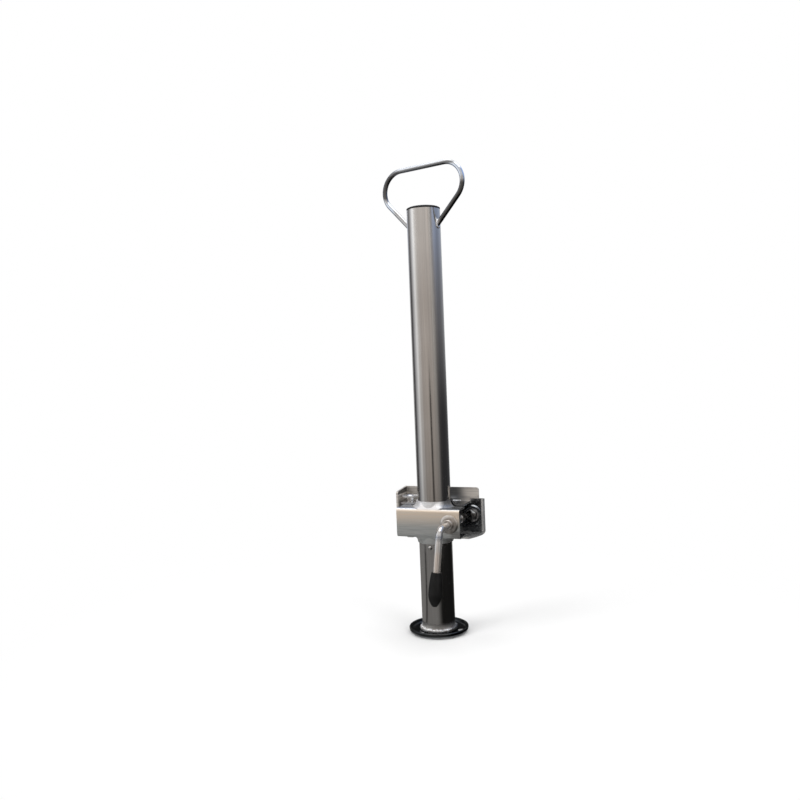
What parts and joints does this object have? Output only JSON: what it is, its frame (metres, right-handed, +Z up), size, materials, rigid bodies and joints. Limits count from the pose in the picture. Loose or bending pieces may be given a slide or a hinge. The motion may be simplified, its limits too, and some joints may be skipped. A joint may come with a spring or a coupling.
{
  "type": "trailer prop stand",
  "caption": "Round steel prop with a dished foot and carry handle, sliding in a hinged two-shell tube clamp with an L-shaped clamp lever and back plate.",
  "frame": {"origin": "centre of the foot plate's flat underside, on the prop tube's axis", "axes": "+Z up along the prop tube, -Y out of the clamp's front panel towards the user, +Y out of the back plate towards the vehicle, +X towards the clamp lever's side"},
  "size_m": [0.1356, 0.1491, 0.673],
  "materials": {
    "zinc_tube": "bright zinc-plated drawn tube, near mirror with faint lengthwise lines",
    "zinc_sheet": "bright zinc-plated pressed sheet",
    "jaw_sheet": "satin zinc-plated pressed sheet",
    "zinc_bar": "bright zinc-plated round bar",
    "zinc_hardware": "bright zinc-plated fasteners",
    "weld_metal": "rippled weld bead under bright zinc",
    "spring_steel": "dark oiled spring wire",
    "black_plastic": "fine-grained black moulded plastic"
  },
  "bodies": {
    "prop": {"prop_tube": "zinc_tube", "tube_cap": "black_plastic", "foot_plate": "zinc_sheet", "foot_weld": "weld_metal", "carry_handle": "zinc_bar", "handle_welds": "weld_metal", "stop_pin": "zinc_hardware"},
    "holder": {"back_plate": "zinc_sheet", "rear_shell": "zinc_sheet", "shell_welds": "weld_metal", "hinge_pin": "zinc_hardware", "hinge_sleeve": "zinc_hardware", "hinge_washers": "zinc_hardware", "hinge_nut": "zinc_hardware", "spindle_bush": "zinc_hardware", "spreader_spring": "spring_steel", "mounting_bolts": "zinc_hardware", "mounting_washers": "zinc_hardware"},
    "jaw": {"front_jaw": "jaw_sheet", "inner_washer": "zinc_hardware"},
    "thrust": {"thrust_washer": "zinc_hardware"},
    "lever": {"clamp_lever": "zinc_bar", "lever_collar": "zinc_bar", "lever_grip": "black_plastic"}
  },
  "joints": [
    {"name": "clamp_slide", "type": "slide", "parent": "prop", "child": "holder", "axis": [0, 0, 1], "range_m": [-0.002, 0.375]},
    {"name": "jaw_swing", "type": "hinge", "parent": "holder", "child": "jaw", "pos_m": [-0.043, 0.013, 0.1619], "axis": [0, 0, -1], "range_deg": [0, 0.705]},
    {"name": "spindle_feed", "type": "slide", "parent": "holder", "child": "thrust", "axis": [0, -1, 0], "range_m": [0, 0.00113]},
    {"name": "lever_turn", "type": "hinge", "parent": "thrust", "child": "lever", "pos_m": [0.0312, 0, 0.1619], "axis": [0, -1, 0], "range_deg": [0, 270]}
  ],
  "couplings": [
    {"joint": "jaw_swing", "follows": "lever_turn", "ratio": 0.0026},
    {"joint": "spindle_feed", "follows": "lever_turn", "m_per_rad": 0.00023873}
  ]
}
